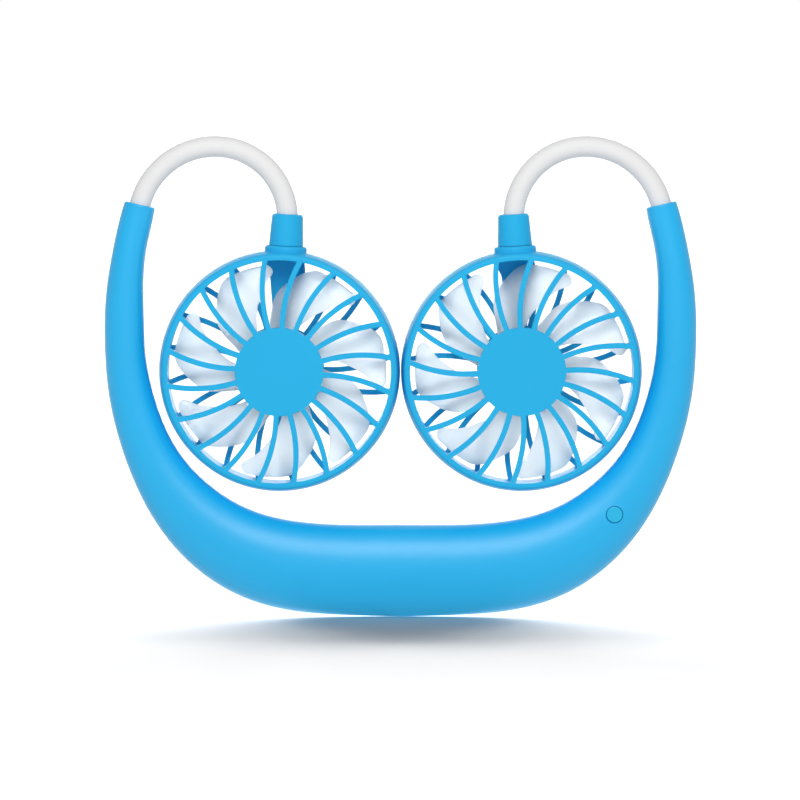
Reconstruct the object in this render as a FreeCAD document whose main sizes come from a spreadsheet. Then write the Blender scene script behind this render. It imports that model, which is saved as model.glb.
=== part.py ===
import FreeCAD, Part
import math
import os
from types import SimpleNamespace

import Sketcher
from FreeCAD import Placement, Rotation, Vector

# An electric neck fan: a plastic band worn round the neck, two goosenecks and two caged fans.
# X runs across the wearer, Y from front to back, Z up. The origin is the middle of the band's inner edge.

# Driving dimensions, in millimetres, degrees or counts.
SIZES = (
    # Neckband
    ("inner_half_width", 98.0),
    ("arm_rise", 120.8),
    ("back_height", 35.0),
    ("back_depth", 24.0),
    ("tip_width", 11.7),
    ("band_wall", 1.6),
    ("tip_edge_radius", 0.6),
    ("band_squareness", 2.15),
    # Band screws and the bosses that take them
    ("screw_radius", 0.8),
    ("screw_hole_radius", 1.1),
    ("screw_head_radius", 1.8),
    ("screw_head_height", 1.3),
    ("screw_length", 6.5),
    ("screw_seat_depth", 2.0),
    ("boss_wall", 1.1),
    # Cell
    ("cell_radius", 9.2),
    ("cell_length", 65.0),
    ("cell_nub_radius", 3.0),
    ("cell_nub_height", 0.8),
    ("rib_thickness", 1.6),
    ("rib_spread", 20.0),
    ("rib_overhang", 1.3),
    # Control board
    ("board_length", 28.0),
    ("board_width", 15.0),
    ("board_thickness", 1.2),
    ("board_screw_along", 11.0),
    ("board_screw_out", 4.5),
    # Button and its switch
    ("button_radius", 3.1),
    ("button_along", 2.9),
    ("button_out", 1.5),
    ("button_flange", 0.9),
    ("button_flange_thickness", 1.0),
    ("button_travel", 0.5),
    ("button_edge_radius", 0.45),
    ("button_stem_radius", 1.4),
    ("switch_width", 6.0),
    ("switch_height", 3.7),
    ("plunger_radius", 1.6),
    ("plunger_proud", 1.0),
    # Charging socket and light
    ("socket_width", 9.0),
    ("socket_height", 3.2),
    ("socket_wall", 0.3),
    ("socket_along", 6.0),
    ("socket_recess", 0.6),
    ("socket_tongue_width", 6.6),
    ("socket_tongue_thickness", 0.7),
    ("light_radius", 1.0),
    ("light_along", 8.0),
    ("light_out", 3.0),
    # Leads in the band
    ("wire_radius", 0.6),
    ("lead_row_along", 13.0),
    ("lead_row_pitch", 3.0),
    ("lead_inner_offset", 6.0),
    ("lead_outer_offset", 8.0),
    ("lead_arm_offset", 4.3),
    # Goosenecks
    ("sleeve_radius", 4.0),
    ("sleeve_wall", 1.1),
    ("core_radius", 2.7),
    ("core_bore_radius", 1.3),
    ("lead_radius", 0.9),
    ("arm_grip", 12.0),
    ("arm_sink", 1.0),
    ("collar_grip", 8.0),
    ("collar_sink", 3.0),
    ("root_ferrule_length", 4.0),
    ("tip_ferrule_length", 2.1),
    ("bend_reach", 10.0),
    ("bend_gap", 2.0),
    # Fan heads
    ("head_radius", 45.9),
    ("head_spread", 46.05),
    ("head_rise", 58.8),
    ("head_lean", 3.0),
    ("head_half_depth", 11.0),
    ("rim_inner_radius", 42.4),
    ("rim_edge_radius", 1.5),
    ("grille_thickness", 2.0),
    ("hub_radius", 16.8),
    ("spoke_count", 20.0),
    ("spoke_width", 2.0),
    ("spoke_bend_radius", 53.0),
    ("spoke_lean", 3.0),
    ("front_spoke_phase", 1.0),
    ("rear_spoke_phase", 3.0),
    ("flange_radius", 8.0),
    ("flange_top", 47.6),
    ("flange_plate", 2.4),
    ("flange_shoulder", 1.1),
    ("web_rim_width", 13.0),
    ("web_hub_width", 5.5),
    ("web_depth", 4.5),
    # Collar and swivel
    ("collar_height", 12.0),
    ("collar_bottom_radius", 6.55),
    ("collar_top_radius", 5.9),
    ("collar_edge_radius", 0.8),
    ("stem_radius", 3.6),
    ("bead_radius", 4.9),
    ("bead_height", 1.8),
    ("lead_bore_radius", 1.6),
    # Motor
    ("motor_radius", 12.2),
    ("motor_length", 12.5),
    ("motor_wall", 0.8),
    ("cup_wall", 0.9),
    ("cup_length", 11.5),
    ("shaft_radius", 1.0),
    ("shaft_proud", 4.0),
    ("bush_radius", 3.0),
    ("bush_proud", 1.0),
    ("end_cap_thickness", 1.2),
    ("magnet_thickness", 1.8),
    ("rotor_radius", 8.8),
    ("rotor_length", 7.0),
    # Impeller
    ("impeller_tip_radius", 40.6),
    ("impeller_hub_radius", 15.3),
    ("impeller_wall", 1.4),
    ("impeller_length", 13.0),
    ("impeller_face_gap", 0.8),
    ("impeller_boss_radius", 2.8),
    ("blade_count", 7.0),
    ("blade_thickness", 1.3),
    ("blade_depth", 10.0),
    ("blade_rear_inset", 1.0),
    ("left_blade_phase", 31.2),
    ("right_blade_phase", 18.7),
    # Fits and tools
    ("clearance", 0.3),
    ("slide_clearance", 0.2),
    ("thrust_clearance", 0.1),
    ("press_clearance", 0.1),
    ("shaft_clearance", 0.04),
    ("overrun", 2.0),
)

doc = FreeCAD.newDocument("neck_fan")
sheet = doc.addObject("Spreadsheet::Sheet", "sizes")
for row, (size_name, size_value) in enumerate(SIZES, 1):
    sheet.set(f"A{row}", size_name)
    sheet.set(f"B{row}", str(size_value))
    sheet.setAlias(f"B{row}", size_name)
doc.recompute()
sz = SimpleNamespace(**{name: float(sheet.get(name)) for name, _ in SIZES})

ACROSS = Vector(1, 0, 0)
BACK = Vector(0, 1, 0)
UP = Vector(0, 0, 1)
SIDES = {"left": -1, "right": 1}
nodes = []


def keep(piece, label):
    """Give a finished sub-part its name."""
    piece.Label = label
    nodes.append(piece)
    return piece


def solid_node(label, shape, place=None):
    """A sub-part whose shape is worked out in code."""
    piece = doc.addObject("Part::Feature", label)
    piece.Shape = shape
    if place:
        piece.Placement = place
    return keep(piece, label)


def origin_feature(body, role):
    return next(item for item in body.Origin.OriginFeatures if item.Role == role)


def plane_sketch(body, name, role, offset="0"):
    """A sketch on one of the body's own planes, moved along its normal by an expression."""
    sketch = body.newObject("Sketcher::SketchObject", name)
    sketch.AttachmentSupport = [(origin_feature(body, role), "")]
    sketch.MapMode = "FlatFace"
    sketch.setExpression("AttachmentOffset.Base.z", offset)
    return sketch


def number(expression):
    return float(sheet.evalExpression(expression))


def bind(sketch, constraint, expression):
    """Add a dimension to a sketch and tie it to the sheet."""
    index = sketch.addConstraint(constraint)
    sketch.setExpression(f"Constraints[{index}]", expression)


def outline(sketch, points):
    """A closed outline of straight lines, each corner given by two expressions."""
    corners = [Vector(number(across), number(along), 0) for across, along in points]
    count = len(corners)
    for index in range(count):
        sketch.addGeometry(Part.LineSegment(corners[index], corners[(index + 1) % count]), False)
    for index in range(count):
        sketch.addConstraint(Sketcher.Constraint("Coincident", index, 2, (index + 1) % count, 1))
    for index, (across, along) in enumerate(points):
        pairs = (("DistanceX", across, corners[index].x, -2), ("DistanceY", along, corners[index].y, -1))
        for kind, expression, value, axis in pairs:
            if expression == "0":
                sketch.addConstraint(Sketcher.Constraint("PointOnObject", index, 1, axis))
            else:
                bind(sketch, Sketcher.Constraint(kind, -1, 1, index, 1, value), expression)


def circle(sketch, expression):
    """A circle about the sketch's origin."""
    index = sketch.addGeometry(Part.Circle(Vector(), UP, number(expression)), False)
    sketch.addConstraint(Sketcher.Constraint("Coincident", index, 3, -1, 1))
    bind(sketch, Sketcher.Constraint("Radius", index, number(expression)), expression)


def turned(name, points, role="XY_Plane"):
    """A body turned about its own axis: Y for the XY plane, Z for the XZ plane."""
    body = doc.addObject("PartDesign::Body", name)
    sketch = plane_sketch(body, f"{name}_profile", role)
    outline(sketch, points)
    turn = body.newObject("PartDesign::Revolution", f"{name}_turn")
    turn.Profile = sketch
    turn.ReferenceAxis = (sketch, ["V_Axis"])
    turn.Angle = 360
    return body


def ring(name, inner, outer, length, role="XY_Plane"):
    """A turned tube from its base upwards."""
    return turned(name, ((inner, "0"), (outer, "0"), (outer, length), (inner, length)), role)


def pad(body, sketch, length):
    feature = body.newObject("PartDesign::Pad", f"{sketch.Name}_pad")
    feature.Profile = sketch
    feature.setExpression("Length", length)
    return feature


def pocket(body, sketch, length):
    feature = body.newObject("PartDesign::Pocket", f"{sketch.Name}_pocket")
    feature.Profile = sketch
    feature.setExpression("Length", length)
    return feature


# Neckband: stations from the back to the arm tip, on the wearer's right.
# Each is a place on the inner edge, as shares of its half width and rise, the way outwards in degrees,
# and how much of the back's thickness is left.
STATION_SHARES = (
    (0.000, 0.000, -90.0, 1.000),
    (0.281, 0.002, -84.6, 0.974),
    (0.490, 0.024, -73.8, 0.915),
    (0.643, 0.071, -57.2, 0.750),
    (0.776, 0.150, -38.4, 0.525),
    (0.878, 0.251, -18.0, 0.335),
    (0.961, 0.415, -7.6, 0.220),
    (0.995, 0.602, -0.8, 0.150),
    (0.998, 0.764, 6.8, 0.085),
    (0.982, 0.889, 10.8, 0.033),
    (0.953, 1.000, 12.9, 0.000),
)
SECTION_POINTS = 16
SEAM_STEP = 2


def station(index, side):
    """Centre, way outwards, half width and half depth of one section of the band."""
    across_share, up_share, outward_deg, thickness_share = STATION_SHARES[index]
    turn = math.radians(outward_deg)
    out = Vector(side * math.cos(turn), 0, math.sin(turn))
    width = sz.tip_width + (sz.back_height - sz.tip_width) * thickness_share
    depth = sz.tip_width + (sz.back_depth - sz.tip_width) * thickness_share
    inner = Vector(side * sz.inner_half_width * across_share, 0, sz.arm_rise * up_share)
    centre = inner + out * (width / 2)
    return SimpleNamespace(centre=centre, out=out, half_width=width / 2, half_depth=depth / 2)


def section_wire(place, inset, shift=Vector()):
    """A rounded section of the band, set in from its surface."""
    points = []
    for step in range(SECTION_POINTS):
        turn = 2 * math.pi * (step + SEAM_STEP) / SECTION_POINTS
        across = math.copysign(abs(math.cos(turn)) ** (2 / sz.band_squareness), math.cos(turn))
        along = math.copysign(abs(math.sin(turn)) ** (2 / sz.band_squareness), math.sin(turn))
        offset = place.out * (across * (place.half_width - inset)) + BACK * (along * (place.half_depth - inset))
        points.append(place.centre + shift + offset)
    curve = Part.BSplineCurve()
    curve.interpolate(points, PeriodicFlag=True)
    return Part.Wire(curve.toShape())


def tip_axis(side):
    """The way that an arm points at its tip."""
    out = station(len(STATION_SHARES) - 1, side).out
    return Vector(-side * out.z, 0, abs(out.x))


def arm_mouth(side):
    """Where a gooseneck leaves its arm."""
    return station(len(STATION_SHARES) - 1, side).centre


def band_solid(inset, past_tip):
    """The whole band as one solid, set in from its surface and run past its tips."""
    last = len(STATION_SHARES) - 1
    order = [(index, -1) for index in range(last, 0, -1)] + [(index, 1) for index in range(last + 1)]
    wires = []
    for index, side in order:
        shift = tip_axis(side) * (past_tip if index == last else 0)
        wires.append(section_wire(station(index, side), inset, shift))
    return Part.makeLoft(wires, True, False)


def cylinder_along(start, way, radius, length):
    return Part.makeCylinder(radius, length, start, way)


def is_tip_edge(edge):
    """Whether an edge lies in the end plane of an arm."""
    for side in SIDES.values():
        tip = station(len(STATION_SHARES) - 1, side).centre
        if all(abs((vertex.Point - tip).dot(tip_axis(side))) < sz.press_clearance for vertex in edge.Vertexes):
            return True
    return False


outer_band = band_solid(0, 0)
outer_band = outer_band.makeFillet(sz.tip_edge_radius, [edge for edge in outer_band.Edges if is_tip_edge(edge)])
cavity = band_solid(sz.band_wall, sz.overrun)
mid_wall = band_solid(sz.band_wall / 2, 0)
hollow_band = outer_band.cut(cavity)

# Places in the band: screws at three stations a side, the board between two stations on the right.
SCREW_STATIONS = (2, 5, 8)
screw_places = [station(index, side).centre for side in SIDES.values() for index in SCREW_STATIONS]
board_from = station(3, 1)
board_to = station(4, 1)
board_centre = (board_from.centre + board_to.centre) * (1 / 2)
board_way = (board_to.centre - board_from.centre).normalize()
board_out = board_way.cross(BACK) * -1


def on_board(along, out, back=0.0):
    """A place in the band, measured from the middle of the control board's front face."""
    return board_centre + board_way * along + board_out * out + BACK * back


def surface_depth(along, out, inset=0.0):
    """How far the band's surface, or a wall set in from it, lies from the middle plane beside the board."""
    way_share = 1 / 2 + along / (board_to.centre - board_from.centre).Length
    half_width = board_from.half_width + (board_to.half_width - board_from.half_width) * way_share - inset
    half_depth = board_from.half_depth + (board_to.half_depth - board_from.half_depth) * way_share - inset
    return half_depth * (1 - (abs(out) / half_width) ** sz.band_squareness) ** (1 / sz.band_squareness)


board_turn = Rotation(BACK, -math.degrees(math.atan2(board_way.z, board_way.x)))
button_place = on_board(sz.button_along, sz.button_out)
socket_place = on_board(-sz.socket_along, 0)
light_place = on_board(sz.light_along, sz.light_out)
board_screw_places = [on_board(sign * sz.board_screw_along, -sign * sz.board_screw_out) for sign in (-1, 1)]
cell_centre = station(0, 1).centre
half_span = sz.inner_half_width + sz.back_height


def half_space(way):
    """A block that holds all of the band on one side of its middle plane."""
    height = sz.arm_rise + 2 * sz.back_height
    block = Part.makeBox(2 * half_span, sz.back_depth, height)
    front_edge = 0 if way > 0 else -sz.back_depth
    block.translate(Vector(-half_span, front_edge, -sz.back_height - sz.overrun))
    return block


def cell_ribs(way):
    """Cradle ribs across the cell, and end ribs that stop it sliding."""
    height = 2 * (sz.cell_radius + sz.rib_overhang)
    places = [side * sz.rib_spread - sz.rib_thickness / 2 for side in SIDES.values()]
    end = sz.cell_length / 2 + sz.cell_nub_height + sz.clearance
    places += [end, -end - sz.rib_thickness]
    ribs = []
    for index, across in enumerate(places):
        rib = Part.makeBox(sz.rib_thickness, sz.back_depth, height)
        front_edge = 0 if way > 0 else -sz.back_depth
        if index > 1:
            front_edge += way * sz.cell_radius / 2
        rib.translate(Vector(across, front_edge, cell_centre.z - height / 2))
        ribs.append(rib)
    seat_radius = sz.cell_radius + sz.press_clearance
    start = cell_centre - ACROSS * (sz.cell_length / 2 + sz.press_clearance)
    seat = cylinder_along(start, ACROSS, seat_radius, sz.cell_length + 2 * sz.press_clearance)
    return [rib.cut(seat) for rib in ribs]


def socket_block(width, height, start, length):
    """A block with rounded long edges, square to the board."""
    corner_share = 0.47
    block = Part.makeBox(width, length, height)
    long_edges = [edge for edge in block.Edges if abs(edge.tangentAt(edge.FirstParameter).dot(BACK)) > 1 / 2]
    block = block.makeFillet(height * corner_share, long_edges)
    block.translate(Vector(-width / 2, start, -height / 2))
    block.Placement = Placement(socket_place, board_turn) * block.Placement
    return block


def band_shell(way):
    """One half of the band with its bosses, ribs and holes."""
    block = half_space(way)
    shell = hollow_band.common(block)
    head_hole = sz.screw_head_radius + sz.slide_clearance
    boss_radius = (head_hole if way > 0 else sz.screw_hole_radius) + sz.boss_wall
    inside = [cylinder_along(place, BACK * way, boss_radius, sz.back_depth) for place in screw_places]
    inside += cell_ribs(way)
    board_back = BACK * sz.board_thickness
    if way > 0:
        for place in board_screw_places:
            post_radius = sz.screw_radius + sz.boss_wall
            inside.append(cylinder_along(place + board_back, BACK, post_radius, sz.back_depth))
    shell = shell.fuse([item.common(mid_wall).common(block) for item in inside])
    holes = []
    for place in screw_places:
        if way > 0:
            holes.append(cylinder_along(place - BACK * sz.overrun, BACK, sz.screw_hole_radius, sz.back_depth))
            holes.append(cylinder_along(place + BACK * sz.screw_seat_depth, BACK, head_hole, sz.back_depth))
        else:
            depth = sz.screw_length - sz.screw_seat_depth + sz.clearance
            holes.append(cylinder_along(place + BACK * sz.overrun, -BACK, sz.screw_radius, depth + sz.overrun))
    if way > 0:
        for place in board_screw_places:
            holes.append(cylinder_along(place, BACK, sz.screw_radius, sz.screw_length + sz.clearance))
        room = 2 * sz.slide_clearance
        holes.append(socket_block(sz.socket_width + room, sz.socket_height + room, 0, sz.back_depth))
        holes.append(cylinder_along(light_place, BACK, sz.light_radius + sz.press_clearance, sz.back_depth))
    else:
        hole = sz.button_radius + sz.slide_clearance
        holes.append(cylinder_along(button_place, -BACK, hole, sz.back_depth))
    return shell.cut(holes)


solid_node("band_front_shell", band_shell(-1))
solid_node("band_rear_shell", band_shell(1))

# Screws: one turned body without threads, copied to each place.
screw = turned("screw_pattern", (
    ("0", "0"),
    ("sizes.screw_radius", "0"),
    ("sizes.screw_radius", "sizes.screw_length"),
    ("sizes.screw_head_radius", "sizes.screw_length"),
    ("sizes.screw_head_radius", "sizes.screw_length + sizes.screw_head_height"),
    ("0", "sizes.screw_length + sizes.screw_head_height"),
))
doc.recompute()


def screws(label, places, turn):
    """Copies of the screw, each with its head's seat at a place."""
    copies = []
    for place in places:
        copy = screw.Shape.copy()
        seat = Placement(Vector(0, -sz.screw_length, 0), Rotation())
        copy.Placement = Placement(place, turn) * seat
        copies.append(copy)
    return solid_node(label, Part.makeCompound(copies))


screws("band_screws", [place + BACK * sz.screw_seat_depth for place in screw_places], Rotation())
screws("board_screws", board_screw_places, Rotation(UP, 180))

# Cell: a wrapped can with a nub at its positive end, lying across the back of the band.
cell = turned("battery_cell", (
    ("0", "0"),
    ("sizes.cell_radius", "0"),
    ("sizes.cell_radius", "sizes.cell_length"),
    ("sizes.cell_nub_radius", "sizes.cell_length"),
    ("sizes.cell_nub_radius", "sizes.cell_length + sizes.cell_nub_height"),
    ("0", "sizes.cell_length + sizes.cell_nub_height"),
))
cell.Placement = Placement(cell_centre - ACROSS * (sz.cell_length / 2), Rotation(UP, -90))
keep(cell, "battery_cell")

# Control board: a plain plate on two posts of the rear shell.
board = doc.addObject("Part::Box", "board_plate")
board.setExpression("Length", "sizes.board_length")
board.setExpression("Width", "sizes.board_thickness")
board.setExpression("Height", "sizes.board_width")
board_corner = Vector(-sz.board_length / 2, 0, -sz.board_width / 2)
board.Placement = Placement(board_centre, board_turn) * Placement(board_corner, Rotation())
board_holes = []
for index, place in enumerate(board_screw_places):
    hole = doc.addObject("Part::Cylinder", f"board_hole_{index}")
    hole.setExpression("Radius", "sizes.screw_hole_radius")
    hole.setExpression("Height", "sizes.board_thickness + 2 * sizes.overrun")
    hole.Placement = Placement(place - BACK * sz.overrun, Rotation(ACROSS, -90))
    board_holes.append(hole)
hole_pair = doc.addObject("Part::MultiFuse", "board_hole_pair")
hole_pair.Shapes = board_holes
control_board = doc.addObject("Part::Cut", "control_board")
control_board.Base = board
control_board.Tool = hole_pair
keep(control_board, "control_board")

# Push switch: a square body on the board, with a round plunger that travels in it.
switch_box = doc.addObject("Part::Box", "switch_box")
switch_box.setExpression("Length", "sizes.switch_width")
switch_box.setExpression("Width", "sizes.switch_height")
switch_box.setExpression("Height", "sizes.switch_width")
switch_corner = Vector(-sz.switch_width / 2, -sz.switch_height, -sz.switch_width / 2)
switch_box.Placement = Placement(button_place, board_turn) * Placement(switch_corner, Rotation())
plunger_room = doc.addObject("Part::Cylinder", "plunger_room")
plunger_room.setExpression("Radius", "sizes.plunger_radius + sizes.slide_clearance")
plunger_room.setExpression("Height", "sizes.switch_height")
switch_floor = sz.switch_height / 2
plunger_room.Placement = Placement(button_place - BACK * switch_floor, Rotation(ACROSS, 90))
tact_switch = doc.addObject("Part::Cut", "tact_switch")
tact_switch.Base = switch_box
tact_switch.Tool = plunger_room
keep(tact_switch, "tact_switch")

plunger_bottom = switch_floor + sz.button_travel + sz.slide_clearance
plunger_top = sz.switch_height + sz.plunger_proud
plunger = doc.addObject("Part::Cylinder", "switch_plunger")
plunger.setExpression("Radius", "sizes.plunger_radius")
plunger.Height = plunger_top - plunger_bottom
plunger.Placement = Placement(button_place - BACK * plunger_bottom, Rotation(ACROSS, 90))
keep(plunger, "switch_plunger")

# Power button: a cap in the front shell, kept in by a flange, with a stem on the plunger.
flange_reach = sz.button_radius + sz.button_flange
inner_wall = surface_depth(sz.button_along + flange_reach, sz.button_out + flange_reach, sz.band_wall)
flange_seat = inner_wall - sz.clearance
stem_length = flange_seat - sz.button_flange_thickness - plunger_top
cap_height = surface_depth(sz.button_along, sz.button_out) - plunger_top - stem_length
cap_foot = BACK * -stem_length
button_cap = cylinder_along(cap_foot, -BACK, sz.button_radius, cap_height)
face_edges = [edge for edge in button_cap.Edges if edge.BoundBox.YMax < cap_foot.y - cap_height / 2]
button_cap = button_cap.makeFillet(sz.button_edge_radius, face_edges)
button_flange = cylinder_along(cap_foot, -BACK, sz.button_radius + sz.button_flange, sz.button_flange_thickness)
button_stem = cylinder_along(Vector(), -BACK, sz.button_stem_radius, stem_length)
button = button_cap.fuse([button_flange, button_stem]).removeSplitter()
solid_node("power_button", button, Placement(button_place - BACK * plunger_top, Rotation()))

# Charging socket: a drawn steel shell with a contact tongue, facing backwards.
socket_start = sz.board_thickness
socket_length = surface_depth(-sz.socket_along, 0) - sz.socket_recess - socket_start
inner_width = sz.socket_width - 2 * sz.socket_wall
inner_height = sz.socket_height - 2 * sz.socket_wall
socket_floor = socket_start + sz.socket_height / 2
socket_shell = socket_block(sz.socket_width, sz.socket_height, socket_start, socket_length)
socket_shell = socket_shell.cut(socket_block(inner_width, inner_height, socket_floor, sz.back_depth))
tongue_length = socket_start + socket_length - socket_floor - sz.socket_recess
tongue = Part.makeBox(sz.socket_tongue_width, tongue_length + sz.socket_wall, sz.socket_tongue_thickness)
tongue_foot = socket_floor - sz.socket_wall
tongue_corner = Vector(-sz.socket_tongue_width / 2, tongue_foot, -sz.socket_tongue_thickness / 2)
tongue.Placement = Placement(socket_place, board_turn) * Placement(tongue_corner, Rotation())
solid_node("usb_socket", socket_shell.fuse(tongue))

# Charge light: a clear pipe from the board to the rear shell's surface.
light = doc.addObject("Part::Cylinder", "charge_light")
light.setExpression("Radius", "sizes.light_radius")
light.Height = surface_depth(sz.light_along, sz.light_out + sz.light_radius) - sz.board_thickness
light.Placement = Placement(light_place + BACK * sz.board_thickness, Rotation(ACROSS, -90))
keep(light, "charge_light")


def arc_from(start, way, end):
    """The arc that leaves a point along a way and ends at another point."""
    chord = end - start
    along = Vector(chord).normalize()
    side = way - along * way.dot(along)
    half_turn = math.acos(max(-1, min(1, way.dot(along))))
    middle = (start + end) * (1 / 2) + side.normalize() * (chord.Length / 2 * math.tan(half_turn / 2))
    return Part.Arc(start, middle, end).toShape()


def two_arcs(start, start_way, end, end_way):
    """A smooth pair of arcs between two points with given ways."""
    span = end - start
    ways = start_way + end_way
    closeness = 2 * (1 - start_way.dot(end_way))
    reach = span.dot(ways)
    arm = (math.sqrt(reach ** 2 + closeness * span.dot(span)) - reach) / closeness
    middle = (start + start_way * arm + end - end_way * arm) * (1 / 2)
    first = arc_from(start, start_way, middle)
    last_edge = first.tangentAt(first.LastParameter)
    return [first, arc_from(middle, last_edge, end)]


def part_of(edges, start, end):
    """The stretch of a path between two lengths along it."""
    stretch = []
    passed = 0.0
    for edge in edges:
        low = max(start - passed, 0)
        high = min(end - passed, edge.Length)
        if high > low:
            first = edge.getParameterByLength(low)
            last = edge.getParameterByLength(high)
            stretch.append(Part.Edge(edge.Curve, first, last))
        passed += edge.Length
    return stretch


def rod(edges, radius):
    """A round rod along a path."""
    first = edges[0]
    start = first.valueAt(first.FirstParameter)
    way = first.tangentAt(first.FirstParameter)
    section = Part.Wire(Part.Circle(start, way, radius).toShape())
    return Part.Wire(edges).makePipeShell([section], True, False)


def point_at(edges, length):
    """A place along a path."""
    for edge in edges:
        if length <= edge.Length:
            return edge.valueAt(edge.getParameterByLength(length))
        length -= edge.Length
    return edges[-1].valueAt(edges[-1].LastParameter)


def rounded_route(points):
    """Straight runs joined by arcs that are as large as the runs allow."""
    arc_share = 0.45
    edges = []
    start = points[0]
    for before, corner, after in zip(points, points[1:], points[2:]):
        cut_back = arc_share * min((corner - before).Length, (after - corner).Length)
        way_in = (corner - before).normalize()
        way_out = (after - corner).normalize()
        arc_start = corner - way_in * cut_back
        arc_end = corner + way_out * cut_back
        edges.append(Part.LineSegment(start, arc_start).toShape())
        edges.append(arc_from(arc_start, way_in, arc_end))
        start = arc_end
    edges.append(Part.LineSegment(start, points[-1]).toShape())
    return edges


def beside(index, side, offset):
    """A place at one station of the band, outwards of its middle and just inside the front shell."""
    place = station(index, side)
    return place.centre + place.out * offset - BACK * (sz.wire_radius + sz.clearance)


def arm_route(side, first_station):
    """Places for a lead from a station up an arm, past the screw bosses, to the gooseneck's end."""
    arm_way = tip_axis(side)
    neck_end = arm_mouth(side) - arm_way * sz.arm_grip
    stations = range(first_station, SCREW_STATIONS[-1] + 1)
    places = [beside(index, side, sz.lead_arm_offset) for index in stations]
    return places + [neck_end - arm_way * sz.arm_sink * 2, neck_end]


def lead_start(row, sign):
    """The soldered end of a lead, on the front of the board."""
    return on_board(sign * sz.lead_row_along, row * sz.lead_row_pitch, -sz.wire_radius)


# Leads in the band: from the board to both goosenecks and to both ends of the cell.
cell_end = ACROSS * (sz.cell_length / 2)
channel = UP * ((sz.cell_radius + sz.rib_overhang + station(0, 1).half_width - sz.band_wall) / 2)
turn_in = cell_end + ACROSS * (2 * sz.rib_thickness + 2 * sz.wire_radius)
right_route = [lead_start(1, 1)] + arm_route(1, 5)
left_route = [lead_start(0, -1), beside(2, 1, sz.lead_outer_offset), cell_centre + cell_end - channel,
              cell_centre - cell_end - channel, beside(2, -1, sz.lead_outer_offset)] + arm_route(-1, 3)
plus_route = [cell_centre + cell_end + ACROSS * sz.cell_nub_height, cell_centre + turn_in,
              beside(2, 1, sz.lead_inner_offset), lead_start(-1, -1)]
minus_route = [cell_centre - cell_end, cell_centre - turn_in, cell_centre - turn_in + channel,
               cell_centre + turn_in + channel, beside(2, 1, -sz.lead_inner_offset), lead_start(-2, -1)]
solid_node("right_band_lead", rod(rounded_route(right_route), sz.wire_radius))
solid_node("left_band_lead", rod(rounded_route(left_route), sz.wire_radius))
solid_node("cell_leads", Part.makeCompound([rod(rounded_route(route), sz.wire_radius)
                                            for route in (plus_route, minus_route)]))


def head_place(side):
    """Where a fan head stands: its centre, leaning towards the other head."""
    return Placement(Vector(side * sz.head_spread, 0, sz.head_rise), Rotation(BACK, -side * sz.head_lean))


def neck_path(side):
    """The gooseneck's line: straight in the arm, two arcs, straight in the collar."""
    mouth = arm_mouth(side)
    arm_way = tip_axis(side)
    head = head_place(side)
    collar_mouth = head.multVec(UP * (sz.flange_top + sz.thrust_clearance + sz.collar_height))
    collar_way = head.Rotation.multVec(-UP)
    arch_start = mouth - arm_way * sz.arm_sink
    arch_end = collar_mouth + collar_way * sz.collar_sink
    arm_line = Part.LineSegment(mouth - arm_way * sz.arm_grip, arch_start).toShape()
    collar_line = Part.LineSegment(arch_end, collar_mouth + collar_way * sz.collar_grip).toShape()
    return [arm_line] + two_arcs(arch_start, arm_way, arch_end, collar_way) + [collar_line]


def axis_place(start, way):
    """A place whose upward axis points along a way."""
    return Placement(start, Rotation(UP, way))


def gooseneck(side_name, side):
    """Sleeve, core in three lengths, ferrules and lead of one gooseneck."""
    path = neck_path(side)
    total = sum(edge.Length for edge in path)
    root = sz.arm_grip + sz.bend_reach
    tip = total - sz.collar_grip - sz.bend_reach
    print(side_name, "bends", point_at(path, root), point_at(path, tip))
    sleeve_line = part_of(path, sz.root_ferrule_length, total - sz.tip_ferrule_length)
    sleeve = rod(sleeve_line, sz.sleeve_radius).cut(rod(sleeve_line, sz.sleeve_radius - sz.sleeve_wall))
    solid_node(f"{side_name}_neck_sleeve", sleeve)
    stretches = {
        "core_root": (0, root - sz.bend_gap),
        "core_mid": (root + sz.bend_gap, tip - sz.bend_gap),
        "core_tip": (tip + sz.bend_gap, total),
    }
    for name, (start, end) in stretches.items():
        line = part_of(path, start, end)
        core = rod(line, sz.core_radius).cut(rod(line, sz.core_bore_radius))
        solid_node(f"{side_name}_{name}", core)
    solid_node(f"{side_name}_neck_lead", rod(part_of(path, 0, total), sz.lead_radius))
    ends = (
        ("root_ferrule", "sizes.root_ferrule_length", path[0].valueAt(path[0].FirstParameter), tip_axis(side)),
        ("tip_ferrule", "sizes.tip_ferrule_length", path[-1].valueAt(path[-1].LastParameter),
         head_place(side).Rotation.multVec(UP)),
    )
    for name, length, start, way in ends:
        ferrule = ring(f"{side_name}_{name}", "sizes.core_radius + sizes.shaft_clearance",
                       "sizes.sleeve_radius + sizes.press_clearance", length, "XZ_Plane")
        ferrule.Placement = axis_place(start, way)
        keep(ferrule, f"{side_name}_{name}")


# The rounded shoulder of a guard's flange, as shares of its radius inwards and downwards.
SHOULDER_SHARES = ((0, 1), (0.134, 0.5), (0.5, 0.134), (1, 0))


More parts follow.
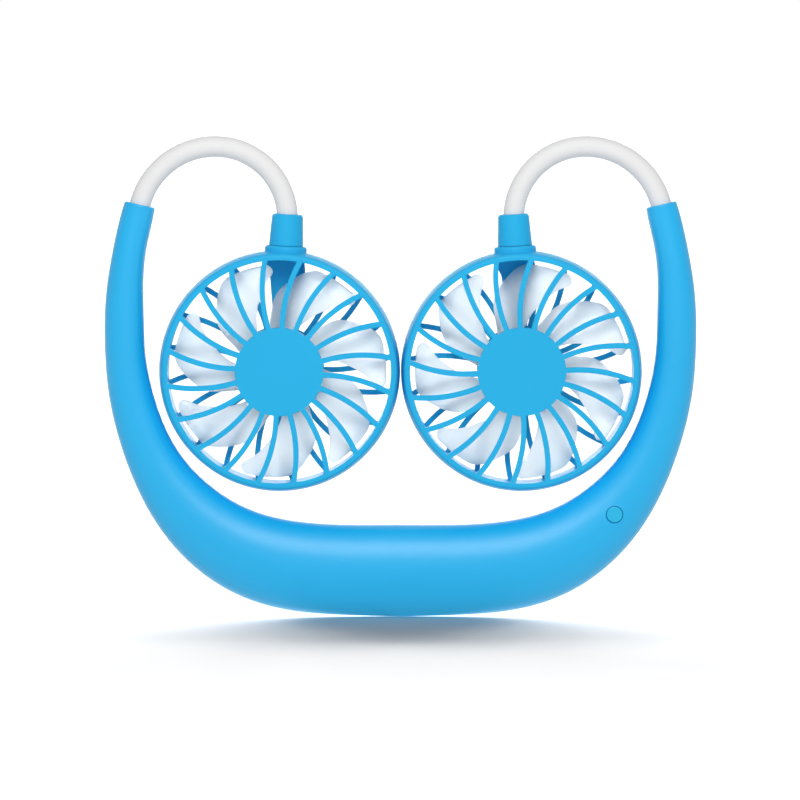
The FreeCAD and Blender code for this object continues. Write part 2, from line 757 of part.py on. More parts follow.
def guard(label, place, rear):
    """Half of a fan cage: a rim, curved spokes and a hub disc, its outer face backwards."""
    body = doc.addObject("PartDesign::Body", label)
    rim_sketch = plane_sketch(body, f"{label}_rim", "XY_Plane")
    edge_depth = sz.head_half_depth - sz.rim_edge_radius
    edge_reach = math.sqrt((sz.head_radius - sz.rim_edge_radius) ** 2 - edge_depth ** 2)
    edge_centre = Vector(edge_reach, edge_depth, 0)
    edge_turn = math.atan2(edge_depth, edge_reach)
    side = Part.ArcOfCircle(Part.Circle(Vector(), UP, sz.head_radius), 0, edge_turn)
    edge = Part.ArcOfCircle(Part.Circle(edge_centre, UP, sz.rim_edge_radius), edge_turn, math.pi / 2)
    inner_front = Vector(sz.rim_inner_radius, sz.head_half_depth, 0)
    inner_middle = Vector(sz.rim_inner_radius, 0, 0)
    profile = (Part.LineSegment(inner_middle, side.StartPoint), side, edge,
               Part.LineSegment(edge.EndPoint, inner_front), Part.LineSegment(inner_front, inner_middle))
    for piece in profile:
        rim_sketch.addGeometry(piece, False)
    count = len(profile)
    for index in range(count):
        following = (index + 1) % count
        kind = "Tangent" if index in (1, 2) else "Coincident"
        rim_sketch.addConstraint(Sketcher.Constraint(kind, index, 2, following, 1))
    rim_sketch.addConstraint(Sketcher.Constraint("Coincident", 1, 3, -1, 1))
    rim_sketch.addConstraint(Sketcher.Constraint("PointOnObject", 0, 1, -1))
    rim_sketch.addConstraint(Sketcher.Constraint("PointOnObject", 0, 2, -1))
    rim_sketch.addConstraint(Sketcher.Constraint("Horizontal", 3))
    rim_sketch.addConstraint(Sketcher.Constraint("Vertical", 4))
    bind(rim_sketch, Sketcher.Constraint("Radius", 1, sz.head_radius), "sizes.head_radius")
    bind(rim_sketch, Sketcher.Constraint("Radius", 2, sz.rim_edge_radius), "sizes.rim_edge_radius")
    inner_size = Sketcher.Constraint("DistanceX", -1, 1, 0, 1, sz.rim_inner_radius)
    bind(rim_sketch, inner_size, "sizes.rim_inner_radius")
    depth_size = Sketcher.Constraint("DistanceY", -1, 1, 4, 1, sz.head_half_depth)
    bind(rim_sketch, depth_size, "sizes.head_half_depth")
    rim = body.newObject("PartDesign::Revolution", f"{label}_rim_turn")
    rim.Profile = rim_sketch
    rim.ReferenceAxis = (rim_sketch, ["V_Axis"])
    rim.Angle = 360

    outer_face = "-sizes.head_half_depth"
    spoke_sketch = plane_sketch(body, f"{label}_spoke", "XZ_Plane", outer_face)
    turn = math.radians(sz.rear_spoke_phase if rear else sz.front_spoke_phase)
    lean = turn - math.radians(sz.spoke_lean)
    start = Vector(-math.sin(turn), math.cos(turn), 0) * sz.hub_radius
    centre = start + Vector(-math.cos(lean), -math.sin(lean), 0) * sz.spoke_bend_radius
    first_turn = math.atan2(start.y - centre.y, start.x - centre.x) - sz.spoke_width / sz.spoke_bend_radius
    reach = (sz.rim_inner_radius + sz.head_radius) / 2 - sz.hub_radius
    last_turn = first_turn + (reach + sz.spoke_width) / sz.spoke_bend_radius
    ends = []
    for sign in (-1, 1):
        radius = sz.spoke_bend_radius + sign * sz.spoke_width / 2
        arc = Part.ArcOfCircle(Part.Circle(centre, UP, radius), first_turn, last_turn)
        spoke_sketch.addGeometry(arc, False)
        ends.append((arc.StartPoint, arc.EndPoint))
    spoke_sketch.addGeometry(Part.LineSegment(ends[0][0], ends[1][0]), False)
    spoke_sketch.addGeometry(Part.LineSegment(ends[0][1], ends[1][1]), False)
    for line, point in ((2, 1), (3, 2)):
        spoke_sketch.addConstraint(Sketcher.Constraint("Coincident", line, 1, 0, point))
        spoke_sketch.addConstraint(Sketcher.Constraint("Coincident", line, 2, 1, point))
    spoke = pad(body, spoke_sketch, "sizes.grille_thickness")
    pattern = body.newObject("PartDesign::PolarPattern", f"{label}_spokes")
    pattern.Originals = [spoke]
    pattern.Axis = (origin_feature(body, "Y_Axis"), [""])
    pattern.Angle = 360
    pattern.setExpression("Occurrences", "sizes.spoke_count")
    body.Tip = pattern

    hub_sketch = plane_sketch(body, f"{label}_hub", "XZ_Plane", outer_face)
    circle(hub_sketch, "sizes.hub_radius")
    pad(body, hub_sketch, "sizes.grille_thickness")

    rim_middle = "(sizes.rim_inner_radius + sizes.head_radius) / 2 - sizes.clearance"
    flange_sketch = plane_sketch(body, f"{label}_flange", "XZ_Plane")
    shoulder = [(f"sizes.flange_radius - sizes.flange_shoulder * {in_share}",
                 f"sizes.flange_top - sizes.flange_shoulder * {down_share}")
                for in_share, down_share in SHOULDER_SHARES]
    outline(flange_sketch, [("0", rim_middle), ("sizes.flange_radius", rim_middle)] + shoulder + [
        ("0", "sizes.flange_top"),
    ])
    flange = body.newObject("PartDesign::Revolution", f"{label}_flange_turn")
    flange.Profile = flange_sketch
    flange.ReferenceAxis = (flange_sketch, ["V_Axis"])
    flange.Angle = 180

    bead_sketch = plane_sketch(body, f"{label}_bead_room", "XY_Plane", "sizes.flange_top - sizes.flange_plate")
    circle(bead_sketch, "sizes.bead_radius + sizes.clearance")
    pocket(body, bead_sketch, "sizes.head_radius - sizes.rim_inner_radius + sizes.overrun")
    stem_sketch = plane_sketch(body, f"{label}_stem_room", "XY_Plane", "sizes.flange_top + sizes.overrun")
    circle(stem_sketch, "sizes.stem_radius + sizes.clearance")
    pocket(body, stem_sketch, "sizes.flange_plate + 2 * sizes.overrun")

    if rear:
        inner_face = "sizes.grille_thickness - sizes.head_half_depth"
        cup_sketch = plane_sketch(body, f"{label}_cup", "XZ_Plane", inner_face)
        circle(cup_sketch, "sizes.motor_radius + sizes.press_clearance")
        circle(cup_sketch, "sizes.motor_radius + sizes.press_clearance + sizes.cup_wall")
        pad(body, cup_sketch, "sizes.cup_length")
        web_sketch = plane_sketch(body, f"{label}_web", "XZ_Plane", outer_face)
        web_bottom = "sizes.motor_radius + sizes.cup_wall"
        web_top = "sizes.rim_inner_radius + sizes.clearance"
        outline(web_sketch, (
            ("sizes.web_rim_width / 2", web_top),
            ("-sizes.web_rim_width / 2", web_top),
            ("-sizes.web_hub_width / 2", web_bottom),
            ("sizes.web_hub_width / 2", web_bottom),
        ))
        pad(body, web_sketch, "sizes.web_depth")
        tunnel_sketch = plane_sketch(body, f"{label}_lead_tunnel", "XY_Plane", web_top)
        half = "(sizes.lead_radius + sizes.press_clearance)"
        back = "(sizes.head_half_depth - sizes.web_depth / 2)"
        outline(tunnel_sketch, (
            (half, f"{back} + {half}"),
            (f"-{half}", f"{back} + {half}"),
            (f"-{half}", f"{back} - {half}"),
            (half, f"{back} - {half}"),
        ))
        pocket(body, tunnel_sketch, f"{web_top} - sizes.motor_radius")
    body.Placement = place
    return keep(body, label)


def collar(side_name, place):
    """A tapered collar with a stem and a bead below it, held between the two guards."""
    collar_bottom = "(sizes.flange_top + sizes.thrust_clearance)"
    bead_top = "(sizes.flange_top - sizes.flange_plate - sizes.clearance)"
    bead_bottom = f"({bead_top} - sizes.bead_height)"
    collar_top = f"({collar_bottom} + sizes.collar_height)"
    grip_bottom = f"({collar_top} - sizes.collar_grip)"
    grip_radius = "sizes.sleeve_radius + sizes.clearance"
    body = turned(f"{side_name}_collar", (
        ("sizes.lead_bore_radius", bead_bottom),
        ("sizes.bead_radius", bead_bottom),
        ("sizes.bead_radius", bead_top),
        ("sizes.stem_radius", bead_top),
        ("sizes.stem_radius", collar_bottom),
        ("sizes.collar_bottom_radius", collar_bottom),
        ("sizes.collar_top_radius", f"{collar_top} - sizes.collar_edge_radius"),
        ("sizes.collar_top_radius - sizes.collar_edge_radius / 2",
         f"{collar_top} - sizes.collar_edge_radius / 4"),
        ("sizes.collar_top_radius - sizes.collar_edge_radius", collar_top),
        (grip_radius, collar_top),
        (grip_radius, grip_bottom),
        ("sizes.lead_bore_radius", grip_bottom),
    ), "XZ_Plane")
    body.Placement = place
    return keep(body, f"{side_name}_collar")


def motor(side_name, place):
    """The motor in the rear guard's cup: can, magnet ring, end cap and bush."""
    back = sz.head_half_depth - sz.grille_thickness
    at_back = place * Placement(BACK * back, Rotation(ACROSS, 180))
    can = turned(f"{side_name}_motor_can", (
        ("sizes.motor_radius - sizes.motor_wall", "0"),
        ("sizes.motor_radius", "0"),
        ("sizes.motor_radius", "sizes.motor_length"),
        ("sizes.bush_radius", "sizes.motor_length"),
        ("sizes.bush_radius", "sizes.motor_length - sizes.motor_wall"),
        ("sizes.motor_radius - sizes.motor_wall", "sizes.motor_length - sizes.motor_wall"),
    ))
    can.Placement = at_back
    keep(can, f"{side_name}_motor_can")
    cap = ring(f"{side_name}_motor_end_cap", "sizes.shaft_radius + sizes.shaft_clearance",
               "sizes.motor_radius - sizes.motor_wall", "sizes.end_cap_thickness")
    cap.Placement = at_back
    keep(cap, f"{side_name}_motor_end_cap")
    magnet = ring(f"{side_name}_motor_magnet", "sizes.motor_radius - sizes.motor_wall - sizes.magnet_thickness",
                  "sizes.motor_radius - sizes.motor_wall", "sizes.rotor_length")
    gap = (sz.motor_length - sz.motor_wall - sz.end_cap_thickness - sz.rotor_length) / 2
    in_can = at_back * Placement(BACK * (sz.end_cap_thickness + gap), Rotation())
    magnet.Placement = in_can
    keep(magnet, f"{side_name}_motor_magnet")
    bush = ring(f"{side_name}_motor_bush", "sizes.shaft_radius + sizes.shaft_clearance",
                "sizes.bush_radius", "sizes.motor_wall + sizes.bush_proud")
    bush.Placement = at_back * Placement(BACK * (sz.motor_length - sz.motor_wall), Rotation())
    keep(bush, f"{side_name}_motor_bush")
    rotor = ring(f"{side_name}_motor_rotor", "sizes.shaft_radius", "sizes.rotor_radius", "sizes.rotor_length")
    rotor.Placement = in_can
    keep(rotor, f"{side_name}_motor_rotor")
    shaft = doc.addObject("Part::Cylinder", f"{side_name}_motor_shaft")
    shaft.setExpression("Radius", "sizes.shaft_radius")
    shaft.setExpression("Height", "sizes.motor_length + sizes.shaft_proud - sizes.clearance")
    shaft.Placement = at_back * Placement(BACK * sz.clearance, Rotation(ACROSS, -90))
    keep(shaft, f"{side_name}_motor_shaft")


# One blade, as shares of its reach from hub to tip and the angles of its two edges in degrees.
BLADE_SHARES = (
    (0.00, -2.0, 37.5),
    (0.30, 9.0, 46.0),
    (0.55, 14.5, 54.0),
    (0.78, 25.0, 61.5),
    (0.92, 32.0, 65.0),
    (0.98, 36.0, 63.5),
    (1.00, 40.0, 59.0),
)
CHORD_SHARES = (0, 0.5, 1)
CAMBER_SHARE = 0.14


def blade_line(rear_edge, chord_share):
    """A line along a blade from hub to tip: share 0 is its leading edge, share 1 its trailing edge."""
    foot = sz.impeller_hub_radius - sz.impeller_wall / 2
    fall = chord_share + CAMBER_SHARE * math.sin(math.pi * chord_share)
    depth = rear_edge - sz.blade_depth * fall
    points = []
    for reach_share, lead_deg, trail_deg in BLADE_SHARES:
        radius = foot + (sz.impeller_tip_radius - foot) * reach_share
        turn = math.radians(lead_deg + (trail_deg - lead_deg) * chord_share)
        points.append(Vector(math.sin(turn) * radius, depth, math.cos(turn) * radius))
    curve = Part.BSplineCurve()
    curve.interpolate(points)
    return Part.Wire(curve.toShape())


def blade_solid(rear_edge):
    """A swept, pitched blade: its leading edge at the back, its trailing edge in front."""
    sheet = Part.makeLoft([blade_line(rear_edge, share) for share in CHORD_SHARES], False, False)
    return sheet.Faces[0].extrude(-BACK * sz.blade_thickness)


def impeller(side_name, place, phase):
    """A hub cup with swept blades, pressed on the motor's shaft."""
    front = -sz.head_half_depth + sz.grille_thickness + sz.impeller_face_gap
    cup = Part.makeCylinder(sz.impeller_hub_radius, sz.impeller_length, BACK * front, BACK)
    hollow_radius = sz.impeller_hub_radius - sz.impeller_wall
    cup = cup.cut(Part.makeCylinder(hollow_radius, sz.impeller_length, BACK * (front + sz.impeller_wall), BACK))
    shaft_end = sz.head_half_depth - sz.grille_thickness - sz.motor_length - sz.shaft_proud
    boss_length = sz.shaft_proud - sz.bush_proud - sz.clearance
    boss = Part.makeCylinder(sz.impeller_boss_radius, boss_length, BACK * shaft_end, BACK)
    boss_back = Part.makeCylinder(sz.impeller_boss_radius, shaft_end - front, BACK * front, BACK)
    cup = cup.fuse([boss, boss_back])
    cup = cup.cut(Part.makeCylinder(sz.shaft_radius, boss_length + sz.overrun, BACK * shaft_end, BACK))
    rear_edge = front + sz.impeller_length - sz.blade_rear_inset
    blade = blade_solid(rear_edge)
    count = int(sz.blade_count)
    blades = []
    for index in range(count):
        copy = blade.copy()
        copy.rotate(Vector(), BACK, phase + 360 / count * index)
        blades.append(copy)
    shape = cup.fuse(blades)
    return solid_node(f"{side_name}_impeller", shape, place)


for side_name, side in SIDES.items():
    gooseneck(side_name, side)
    stand = head_place(side)
    turned_round = stand * Placement(Vector(), Rotation(UP, 180))
    guard(f"{side_name}_front_guard", turned_round, False)
    guard(f"{side_name}_rear_guard", stand, True)
    collar(side_name, stand)
    motor(side_name, stand)
    impeller(side_name, stand, getattr(sz, f"{side_name}_blade_phase"))
    lead = doc.addObject("Part::Cylinder", f"{side_name}_head_lead")
    lead.setExpression("Radius", "sizes.lead_radius")
    lead.setExpression("Height", "sizes.rim_inner_radius - sizes.motor_radius - sizes.clearance")
    lead_back = sz.head_half_depth - sz.web_depth / 2
    lead.Placement = stand * Placement(Vector(0, lead_back, sz.motor_radius + sz.clearance), Rotation())
    keep(lead, f"{side_name}_head_lead")

doc.recompute()
os.makedirs("parts", exist_ok=True)
failed = [item.Name for item in doc.Objects if "Invalid" in item.State or "Error" in item.State]
failed += [item.Label for item in nodes if item.Shape.isNull() or not item.Shape.isValid()]
if failed:
    raise RuntimeError(f"these objects failed: {failed}")
for item in nodes:
    item.Shape.exportStep(f"parts/{item.Label}.step")
    print(item.Label, len(item.Shape.Solids), round(item.Shape.Volume, 2))
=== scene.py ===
import math

import bpy
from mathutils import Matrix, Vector


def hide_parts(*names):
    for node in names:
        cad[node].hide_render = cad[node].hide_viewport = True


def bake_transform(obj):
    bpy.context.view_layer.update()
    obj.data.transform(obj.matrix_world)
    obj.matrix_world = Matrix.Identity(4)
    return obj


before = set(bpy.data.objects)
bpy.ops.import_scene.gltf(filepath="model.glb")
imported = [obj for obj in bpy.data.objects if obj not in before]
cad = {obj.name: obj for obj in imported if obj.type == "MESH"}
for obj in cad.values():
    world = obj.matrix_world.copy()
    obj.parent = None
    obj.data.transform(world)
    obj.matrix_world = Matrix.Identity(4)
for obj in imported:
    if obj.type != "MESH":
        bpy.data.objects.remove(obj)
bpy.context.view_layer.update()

# Band shells: two halves of a U, injection moulded in sky-blue plastic with a fine satin grain.
# They meet on the middle plane, where a thin line shows, and are screwed together from behind.
BAND_BLUE = (0.010, 0.470, 0.890)
BAND_SHINE = 0.46
CLOUDS_PER_METRE = 22.0
CLOUD_DETAIL = 4.0
GRAIN_DETAIL = 2.0
GRAIN_STRENGTH = 0.5
GLOSS_SPREAD = 0.04
MIDDLE_WAY = (0, 1, 0)
MIDDLE_HALF_WIDTH = 0.00009
MIDDLE_SHADE = 0.55


def grained(name, colour, roughness, shine=0.3, grain_size=0.0006, grain_height=0.00001, drift=0.05):
    """A finish with a slight drift in colour and gloss, and a fine grain."""
    material = bpy.data.materials.new(name)
    material.use_nodes = True
    nodes = material.node_tree.nodes
    links = material.node_tree.links
    shader = nodes["Principled BSDF"]
    place = nodes.new("ShaderNodeTexCoord")
    cloud = nodes.new("ShaderNodeTexNoise")
    cloud.inputs["Scale"].default_value = CLOUDS_PER_METRE
    cloud.inputs["Detail"].default_value = CLOUD_DETAIL
    links.new(place.outputs["Object"], cloud.inputs["Vector"])
    tint = nodes.new("ShaderNodeMix")
    tint.data_type = "RGBA"
    tint.inputs["A"].default_value = (*[channel * (1 - drift) for channel in colour], 1)
    tint.inputs["B"].default_value = (*[min(1, channel * (1 + drift)) for channel in colour], 1)
    links.new(cloud.outputs["Fac"], tint.inputs["Factor"])
    links.new(tint.outputs["Result"], shader.inputs["Base Color"])
    grain = nodes.new("ShaderNodeTexNoise")
    grain.inputs["Scale"].default_value = 1 / grain_size
    grain.inputs["Detail"].default_value = GRAIN_DETAIL
    links.new(place.outputs["Object"], grain.inputs["Vector"])
    gloss = nodes.new("ShaderNodeMapRange")
    gloss.inputs["To Min"].default_value = roughness - GLOSS_SPREAD
    gloss.inputs["To Max"].default_value = roughness + GLOSS_SPREAD
    links.new(grain.outputs["Fac"], gloss.inputs["Value"])
    links.new(gloss.outputs["Result"], shader.inputs["Roughness"])
    bump = nodes.new("ShaderNodeBump")
    bump.inputs["Strength"].default_value = GRAIN_STRENGTH
    bump.inputs["Distance"].default_value = grain_height
    links.new(grain.outputs["Fac"], bump.inputs["Height"])
    links.new(bump.outputs["Normal"], shader.inputs["Normal"])
    shader.inputs["Specular IOR Level"].default_value = shine
    return material


def darkened_seam(material, way, level, half_width, shade):
    """Darken the thin line where two mouldings meet: on a plane, alike on both sides of the object."""
    nodes = material.node_tree.nodes
    links = material.node_tree.links
    place = nodes.new("ShaderNodeTexCoord")
    fold = nodes.new("ShaderNodeVectorMath")
    fold.operation = "ABSOLUTE"
    links.new(place.outputs["Object"], fold.inputs[0])
    height = nodes.new("ShaderNodeVectorMath")
    height.operation = "DOT_PRODUCT"
    height.inputs[1].default_value = way
    links.new(fold.outputs["Vector"], height.inputs[0])
    offset = nodes.new("ShaderNodeMath")
    offset.operation = "SUBTRACT"
    offset.inputs[1].default_value = level
    links.new(height.outputs["Value"], offset.inputs[0])
    distance = nodes.new("ShaderNodeMath")
    distance.operation = "ABSOLUTE"
    links.new(offset.outputs["Value"], distance.inputs[0])
    line = nodes.new("ShaderNodeMapRange")
    line.interpolation_type = "SMOOTHSTEP"
    line.inputs["From Min"].default_value = half_width
    line.inputs["From Max"].default_value = half_width * 2
    line.inputs["To Min"].default_value = shade
    line.inputs["To Max"].default_value = 1.0
    links.new(distance.outputs["Value"], line.inputs["Value"])
    darkened = nodes.new("ShaderNodeMix")
    darkened.data_type = "RGBA"
    darkened.blend_type = "MULTIPLY"
    darkened.inputs["Factor"].default_value = 1.0
    base = nodes["Principled BSDF"].inputs["Base Color"]
    links.new(base.links[0].from_socket, darkened.inputs["A"])
    links.new(line.outputs["Result"], darkened.inputs["B"])
    links.new(darkened.outputs["Result"], base)


def dress(names, material):
    """Put one material on CAD nodes."""
    for name in names:
        slots = cad[name].data.materials
        slots.clear()
        slots.append(material)


band_plastic = grained("satin_blue_plastic", BAND_BLUE, roughness=0.38, shine=BAND_SHINE)
darkened_seam(band_plastic, MIDDLE_WAY, 0, MIDDLE_HALF_WIDTH, MIDDLE_SHADE)
dress(("band_front_shell", "band_rear_shell"), band_plastic)

# Power button: a round cap moulded in a blue plastic like the band's, flush in the front shell.
# It slides in its hole, on a spring switch behind it.
BUTTON_BLUE = (0.021, 0.510, 0.850)
dress(("power_button",), grained("button_blue_plastic", BUTTON_BLUE, roughness=0.38))

# Works inside the band: steel screws and socket, a wrapped cell, a lacquered board with a switch, a clear
# light and rubber leads. The board is screwed to posts of the rear shell, and the cell lies in ribs.
# Only the openings at the back show any of them.
STEEL_GREY = (0.60, 0.61, 0.63)
METAL_GRAIN = 0.0003
CELL_GREEN = (0.05, 0.19, 0.09)
BOARD_GREEN = (0.02, 0.11, 0.04)
SWITCH_BLACK = (0.02, 0.02, 0.022)
PLUNGER_CREAM = (0.75, 0.73, 0.68)
LIGHT_CLEAR = (0.85, 0.88, 0.92)
LEAD_RED = (0.28, 0.015, 0.012)


def surface(material):
    """The settings of a material's shader."""
    return material.node_tree.nodes["Principled BSDF"].inputs


def metal(name, colour, roughness):
    """A bare metal with a very fine grain."""
    material = grained(name, colour, roughness, grain_size=METAL_GRAIN)
    surface(material)["Metallic"].default_value = 1.0
    return material


steel = metal("zinc_plated_steel", STEEL_GREY, roughness=0.32)
dress(("band_screws", "board_screws", "usb_socket"), steel)
dress(("battery_cell",), grained("cell_wrap", CELL_GREEN, roughness=0.35))
dress(("control_board",), grained("board_lacquer", BOARD_GREEN, roughness=0.30))
dark_plastic = grained("dark_plastic", SWITCH_BLACK, roughness=0.5)
dress(("tact_switch",), dark_plastic)
dress(("switch_plunger",), grained("pale_plastic", PLUNGER_CREAM, roughness=0.45))
clear_plastic = grained("clear_plastic", LIGHT_CLEAR, roughness=0.15)
surface(clear_plastic)["Transmission Weight"].default_value = 0.8
dress(("charge_light",), clear_plastic)
lead_rubber = grained("lead_insulation", LEAD_RED, roughness=0.5)
dress(("right_band_lead", "left_band_lead", "cell_leads"), lead_rubber)

# Goosenecks: a wound steel core under a white silicone sleeve, with a ferrule on each end of the core.
# The sleeve is pushed into the arm and into the collar, and follows two arcs between them.
# It bends in two places, so it is drawn in two lengths that meet where the arcs do, at the top.
SIDES = {"left": -1, "right": 1}
SILICONE_WHITE = (0.86, 0.86, 0.86)
SLEEVE_RADIUS = 0.0040
SLEEVE_SIDES = 48
ARCH_STEPS = 40
MERGE_DISTANCE = 0.000001
ARM_MOUTH = Vector((0.09910, 0, 0.12211))
ARM_LEAN = math.radians(12.9)
ARM_WAY = Vector((-math.sin(ARM_LEAN), 0, math.cos(ARM_LEAN)))
ARM_GRIP = 0.0060
ARM_SINK = 0.0010
COLLAR_MOUTH = Vector((0.04293, 0, 0.11842))
COLLAR_LEAN = math.radians(3.0)
COLLAR_WAY = Vector((math.sin(COLLAR_LEAN), 0, -math.cos(COLLAR_LEAN)))
COLLAR_GRIP = 0.0045
COLLAR_SINK = 0.0030

silicone = grained("white_silicone", SILICONE_WHITE, roughness=0.55,
                   grain_size=0.0008, grain_height=0.000015, drift=0.02)
surface(silicone)["Subsurface Weight"].default_value = 0.15
surface(silicone)["Subsurface Radius"].default_value = (1, 1, 1)
surface(silicone)["Subsurface Scale"].default_value = 0.001


def arch_top(start, start_way, end, end_way):
    """Where two arcs meet that join two points smoothly, each point with its way."""
    span = end - start
    closeness = 2 * (1 - start_way.dot(end_way))
    lag = span.dot(start_way + end_way)
    reach = (math.sqrt(lag ** 2 + closeness * span.dot(span)) - lag) / closeness
    return (start + start_way * reach + end - end_way * reach) / 2


def arch_arc(start, way, end):
    """Centre and turn of the arc that leaves a point along a way and ends at another point."""
    chord = end - start
    inwards = Vector((-way.z, 0, way.x))
    radius = chord.dot(chord) / (2 * chord.dot(inwards))
    return start + inwards * radius, 2 * way.angle(chord)


def flipped(point, side):
    """A place or way of the right side, moved to the given side."""
    return Vector((point.x * side, point.y, point.z))


def sleeve_start(name, place, way):
    """A ring of the sleeve's section, ready to be drawn out."""
    bpy.ops.object.select_all(action="DESELECT")
    turn = Vector((0, 0, 1)).rotation_difference(way).to_euler()
    bpy.ops.mesh.primitive_circle_add(vertices=SLEEVE_SIDES, radius=SLEEVE_RADIUS,
                                      location=place, rotation=turn)
    sleeve = bpy.context.object
    sleeve.name = name
    bpy.ops.object.transform_apply(location=True, rotation=True, scale=True)
    bpy.ops.object.mode_set(mode="EDIT")
    bpy.ops.mesh.select_all(action="SELECT")
    return sleeve


def draw_straight(run):
    """Draw the open end of a sleeve out along a straight run."""
    bpy.ops.mesh.extrude_edges_move(TRANSFORM_OT_translate={"value": run})


def draw_round(centre, turn, side):
    """Draw the open end of a sleeve round an arc of the given side."""
    bpy.ops.mesh.spin(steps=ARCH_STEPS, angle=side * turn, center=flipped(centre, side), axis=MIDDLE_WAY)


def sleeve_end(sleeve):
    """Close the seams of a drawn sleeve and smooth it."""
    bpy.ops.mesh.select_all(action="SELECT")
    bpy.ops.mesh.remove_doubles(threshold=MERGE_DISTANCE)
    bpy.ops.mesh.normals_make_consistent(inside=False)
    bpy.ops.object.mode_set(mode="OBJECT")
    bpy.ops.object.shade_smooth()
    sleeve.data.materials.append(silicone)


arch_start = ARM_MOUTH - ARM_WAY * ARM_SINK
arch_end = COLLAR_MOUTH + COLLAR_WAY * COLLAR_SINK
top = arch_top(arch_start, ARM_WAY, arch_end, COLLAR_WAY)
outer_centre, outer_turn = arch_arc(arch_start, ARM_WAY, top)
top_out = (top - outer_centre).normalized()
top_way = Vector((-top_out.z, 0, top_out.x))
inner_centre, inner_turn = arch_arc(top, top_way, arch_end)

for side_name, side in SIDES.items():
    arm_way = flipped(ARM_WAY, side)
    root = sleeve_start(f"{side_name}_sleeve_root", flipped(ARM_MOUTH, side) - arm_way * ARM_GRIP, arm_way)
    draw_straight(arm_way * (ARM_GRIP - ARM_SINK))
    draw_round(outer_centre, outer_turn, side)
    sleeve_end(root)
    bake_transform(root)
    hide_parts(f"{side_name}_neck_sleeve", f"{side_name}_neck_lead")

    tip = sleeve_start(f"{side_name}_sleeve_tip", flipped(top, side), flipped(top_way, side))
    draw_round(inner_centre, inner_turn, side)
    draw_straight(flipped(COLLAR_WAY, side) * (COLLAR_GRIP - COLLAR_SINK))
    sleeve_end(tip)
    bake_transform(tip)
    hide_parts(f"{side_name}_neck_sleeve")


def dress_both(pieces, material):
    """Put one material on the left and right node of each piece."""
    dress([f"{side_name}_{piece}" for side_name in SIDES for piece in pieces], material)


dress_both(("core_root", "core_mid", "core_tip", "root_ferrule", "tip_ferrule"), steel)

# Fan heads: a front and a rear guard, moulded in a satin blue like the band's, meet on the middle plane.
# They hold the bead of a tapered collar between them and turn on it. The seam below it has painted shade.
HEAD_BLUE = (0.0250, 0.475, 0.850)
HEAD_SHINE = 0.12
SWIVEL_LEVEL = 0.10396
SWIVEL_HALF_WIDTH = 0.00015
SWIVEL_PAINTED_SHADE = 0.85
head_plastic = grained("head_blue_plastic", HEAD_BLUE, roughness=0.45, shine=HEAD_SHINE)
darkened_seam(head_plastic, MIDDLE_WAY, 0, MIDDLE_HALF_WIDTH, MIDDLE_SHADE)
# Painted shade: the seam under the collar is darkened in the colour, where shade falls between collar and
# flange.
darkened_seam(head_plastic, -COLLAR_WAY, SWIVEL_LEVEL, SWIVEL_HALF_WIDTH, SWIVEL_PAINTED_SHADE)
dress_both(("front_guard", "rear_guard", "collar"), head_plastic)

# Motors: a drawn steel can with a dark plastic cap, a ferrite magnet, a bronze bush, copper windings and a
# steel shaft. Each sits in the rear guard's cup, behind the impeller's hub, with its lead in the web above.
FERRITE_BLACK = (0.03, 0.03, 0.033)
BUSH_BRONZE = (0.45, 0.27, 0.09)
WINDING_COPPER = (0.50, 0.20, 0.08)
dress_both(("motor_can", "motor_shaft"), steel)
dress_both(("motor_end_cap",), dark_plastic)
dress_both(("motor_magnet",), grained("ferrite", FERRITE_BLACK, roughness=0.6))
dress_both(("motor_bush",), metal("bronze", BUSH_BRONZE, roughness=0.35))
dress_both(("motor_rotor",), metal("copper_windings", WINDING_COPPER, roughness=0.35))
dress_both(("head_lead",), lead_rubber)

# Impellers: seven blades moulded in one with their hub, in a frosted plastic that lets some light through.
# Each is pressed on its motor's shaft.
FROST_WHITE = (0.90, 0.965, 0.99)
frosted = grained("frosted_plastic", FROST_WHITE, roughness=0.55, grain_size=0.0005, drift=0.01)
surface(frosted)["Transmission Weight"].default_value = 0.5
surface(frosted)["IOR"].default_value = 1.45
surface(frosted)["Subsurface Weight"].default_value = 1.0
surface(frosted)["Subsurface Radius"].default_value = (0.8, 0.9, 1.0)
surface(frosted)["Subsurface Scale"].default_value = 0.005
dress_both(("impeller",), frosted)

# Studio: a pale floor just under the band and a white backdrop, with a soft box in front and one behind.
# A fan of low suns behind lights only the floor, so that the object's soft shadow falls towards the camera.
FLOOR_LEVEL = -0.0351
FLOOR_SIZE = 60
FLOOR_PALE = (0.90, 0.90, 0.90, 1)
FLOOR_GLOW = 0.70
SKY_WHITE = (1, 1, 1, 1)
SKY_FILL = 0.26
SUN_COUNT = 7
SUN_FAN = math.radians(80)
SUN_HEIGHT = math.tan(math.radians(11))
SUN_DISC = math.radians(16)
SUN_POWER = 3.1


def seen_directly(tree):
    """1 for rays that show the surroundings in the picture, in metal or through clear plastic, else 0."""
    path = tree.nodes.new("ShaderNodeLightPath")
    total = path.outputs["Is Camera Ray"]
    for kind in ("Is Glossy Ray", "Is Transmission Ray"):
        either = tree.nodes.new("ShaderNodeMath")
        either.operation = "MAXIMUM"
        tree.links.new(total, either.inputs[0])
        tree.links.new(path.outputs[kind], either.inputs[1])
        total = either.outputs["Value"]
    return total


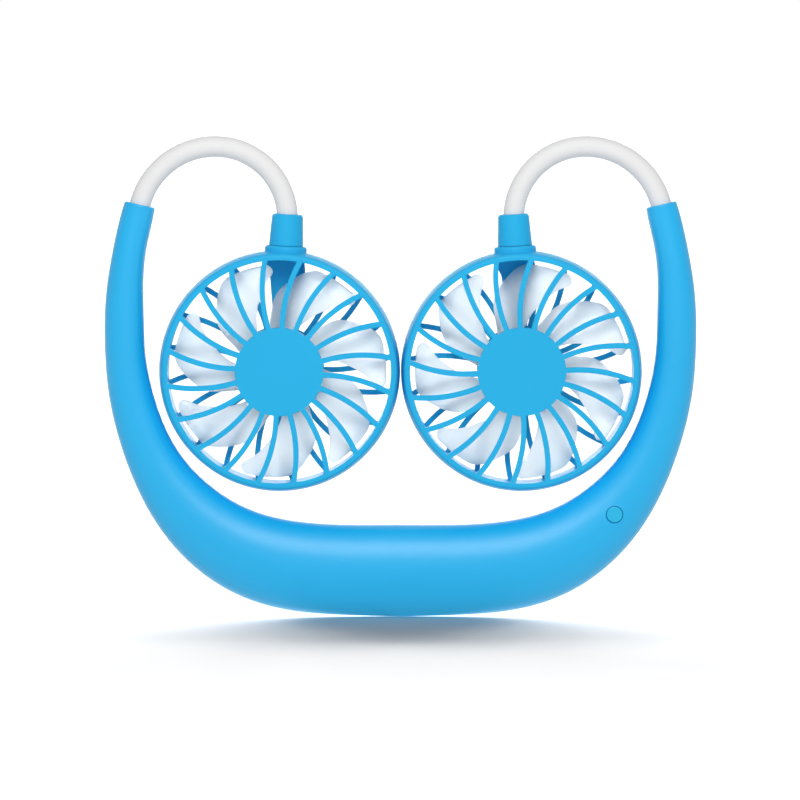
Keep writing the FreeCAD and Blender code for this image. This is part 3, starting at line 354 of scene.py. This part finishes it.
bpy.ops.object.select_all(action="DESELECT")
bpy.ops.mesh.primitive_plane_add(size=FLOOR_SIZE, location=(0, 0, FLOOR_LEVEL))
floor = bpy.context.object
floor.name = "floor"
floor_paint = bpy.data.materials.new("floor_paint")
floor_paint.use_nodes = True
floor_tree = floor_paint.node_tree
floor_shader = floor_tree.nodes["Principled BSDF"]
floor_shader.inputs["Base Color"].default_value = FLOOR_PALE
floor_shader.inputs["Roughness"].default_value = 0.9
floor_shader.inputs["Specular IOR Level"].default_value = 0.0
floor_glow = floor_tree.nodes.new("ShaderNodeEmission")
floor_glow.inputs["Strength"].default_value = FLOOR_GLOW
floor_choice = floor_tree.nodes.new("ShaderNodeMixShader")
floor_tree.links.new(seen_directly(floor_tree), floor_choice.inputs["Fac"])
floor_tree.links.new(floor_glow.outputs["Emission"], floor_choice.inputs[1])
floor_tree.links.new(floor_shader.outputs["BSDF"], floor_choice.inputs[2])
floor_tree.links.new(floor_choice.outputs["Shader"], floor_tree.nodes["Material Output"].inputs["Surface"])
floor.data.materials.append(floor_paint)

world = bpy.data.worlds.new("studio")
bpy.context.scene.world = world
world.use_nodes = True
sky = world.node_tree.nodes["Background"]
sky.inputs["Color"].default_value = SKY_WHITE
sky_level = world.node_tree.nodes.new("ShaderNodeMapRange")
sky_level.inputs["To Min"].default_value = SKY_FILL
sky_level.inputs["To Max"].default_value = 1.0
world.node_tree.links.new(seen_directly(world.node_tree), sky_level.inputs["Value"])
world.node_tree.links.new(sky_level.outputs["Result"], sky.inputs["Strength"])


def lamp_at(lamp, place, aim):
    """Hang a lamp so that it faces a point."""
    holder = bpy.data.objects.new(lamp.name, lamp)
    bpy.context.scene.collection.objects.link(holder)
    holder.location = place
    holder.rotation_euler = (Vector(aim) - Vector(place)).to_track_quat("-Z", "Y").to_euler()
    return holder


def soft_box(name, place, aim, width, height, power):
    """A rectangular studio light that spares the floor."""
    lamp = bpy.data.lights.new(name, "AREA")
    lamp.shape = "RECTANGLE"
    lamp.size = width
    lamp.size_y = height
    lamp.energy = power
    holder = lamp_at(lamp, place, aim)
    spared = bpy.data.collections.new(f"{name}_spares")
    spared.objects.link(floor)
    spared.collection_objects[0].light_linking.link_state = "EXCLUDE"
    holder.light_linking.receiver_collection = spared


soft_box("key", place=(0, -1.20, 0.93), aim=(0, 0, 0.02), width=0.7, height=0.85, power=13.4)
soft_box("back", place=(0, 1.40, 0.24), aim=(0, 0, 0.06), width=1.0, height=0.5, power=6.0)
sunlit = bpy.data.collections.new("sunlit")
sunlit.objects.link(floor)
for sun_index in range(SUN_COUNT):
    sun = bpy.data.lights.new("low_sun", "SUN")
    sun.energy = SUN_POWER
    sun.angle = SUN_DISC
    sun_turn = SUN_FAN * (sun_index / (SUN_COUNT - 1) - 1 / 2)
    sun_holder = lamp_at(sun, (math.sin(sun_turn), math.cos(sun_turn), SUN_HEIGHT), (0, 0, 0))
    sun_holder.light_linking.receiver_collection = sunlit

# Camera: a long lens in front, looking slightly down on the middle of the object.
# The frame's width is the stretch that the picture shows at the object.
CAMERA_DISTANCE = 2.5
CAMERA_PITCH = math.radians(3.0)
CAMERA_AIM = Vector((-0.0002, 0, 0.0476))
FRAME_WIDTH = 0.3048
SENSOR_WIDTH = 36.0
camera_data = bpy.data.cameras.new("camera")
camera_data.sensor_width = SENSOR_WIDTH
camera_data.lens = SENSOR_WIDTH * CAMERA_DISTANCE / FRAME_WIDTH
camera = bpy.data.objects.new("camera", camera_data)
bpy.context.scene.collection.objects.link(camera)
camera.location = CAMERA_AIM + Vector((0, -math.cos(CAMERA_PITCH), math.sin(CAMERA_PITCH))) * CAMERA_DISTANCE
camera.rotation_euler = (CAMERA_AIM - camera.location).to_track_quat("-Z", "Y").to_euler()
bpy.context.scene.camera = camera
bpy.context.scene.view_settings.view_transform = "Standard"
